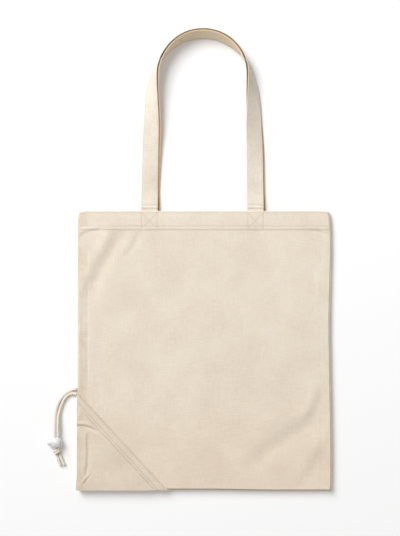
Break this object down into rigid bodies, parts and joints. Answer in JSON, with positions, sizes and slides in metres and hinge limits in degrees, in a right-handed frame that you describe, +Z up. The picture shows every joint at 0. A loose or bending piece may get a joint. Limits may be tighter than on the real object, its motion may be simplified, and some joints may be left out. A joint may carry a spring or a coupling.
{
  "type": "foldable shopping bag",
  "caption": "Flat cotton tote bag with two long sewn handles and a corner drawcord pouch with a ball cord lock, lying open-mouthed and empty.",
  "frame": {"origin": "middle of the bag's body, on the flat underside of the back panel that it lies on", "axes": "+X to the bag's right, +Y from the bag's bottom edge towards its mouth and handles, +Z up from the surface through back panel and front panel"},
  "size_m": [0.4254, 0.6951, 0.0256],
  "materials": {
    "bag_cloth": "plain weave natural cotton, unbleached",
    "strap_cloth": "folded and stitched natural cotton strap",
    "cotton_cord": "twisted natural cotton cord",
    "lock_plastic": "glossy white moulded plastic",
    "spring_steel": "spring wire"
  },
  "bodies": {
    "bag_back": {"back_panel": "bag_cloth", "left_seam_allowance": "bag_cloth", "right_seam_allowance": "bag_cloth", "bottom_seam_allowance": "bag_cloth", "pouch_back": "bag_cloth", "pouch_casing_back": "bag_cloth", "drawcord_run_back": "cotton_cord", "back_handle_left_end": "strap_cloth", "back_handle_right_end": "strap_cloth", "drawcord_leg_outer": "cotton_cord", "drawcord_leg_inner": "cotton_cord", "drawcord_knot": "cotton_cord", "drawcord_tail_left": "cotton_cord", "drawcord_tail_right": "cotton_cord"},
    "bag_front": {"front_panel": "bag_cloth", "pouch_front": "bag_cloth", "pouch_casing_front": "bag_cloth", "drawcord_run_front": "cotton_cord", "front_handle_left_end": "strap_cloth", "front_handle_right_end": "strap_cloth"},
    "front_handle": {"front_handle": "strap_cloth"},
    "back_handle": {"back_handle": "strap_cloth"},
    "cord_lock": {"cord_lock_body": "lock_plastic", "cord_lock_spring": "spring_steel"},
    "lock_button": {"cord_lock_plunger": "lock_plastic"}
  },
  "joints": [
    {"name": "mouth_open", "type": "hinge", "parent": "bag_back", "child": "bag_front", "pos_m": [0, -0.213, 0.0012], "axis": [1, 0, 0], "range_deg": [0, 6]},
    {"name": "front_handle_swing", "type": "hinge", "parent": "bag_front", "child": "front_handle", "pos_m": [-0.002, 0.21015, 0.0098], "axis": [1, 0, 0], "range_deg": [0, 90]},
    {"name": "back_handle_swing", "type": "hinge", "parent": "bag_back", "child": "back_handle", "pos_m": [-0.002, 0.21015, 0.0098], "axis": [1, 0, 0], "range_deg": [0, 90]},
    {"name": "cord_lock_slide", "type": "slide", "parent": "bag_back", "child": "cord_lock", "axis": [0, 1, 0], "range_m": [0, 0.013]},
    {"name": "lock_button_press", "type": "slide", "parent": "cord_lock", "child": "lock_button", "axis": [1, 0, 0], "range_m": [0, 0.0012], "stiffness_N_per_m": 500, "springref_m": -0.001, "deforming": ["cord_lock_spring"]}
  ],
  "couplings": [
    {"joint": "back_handle_swing", "follows": "front_handle_swing", "ratio": 1}
  ]
}
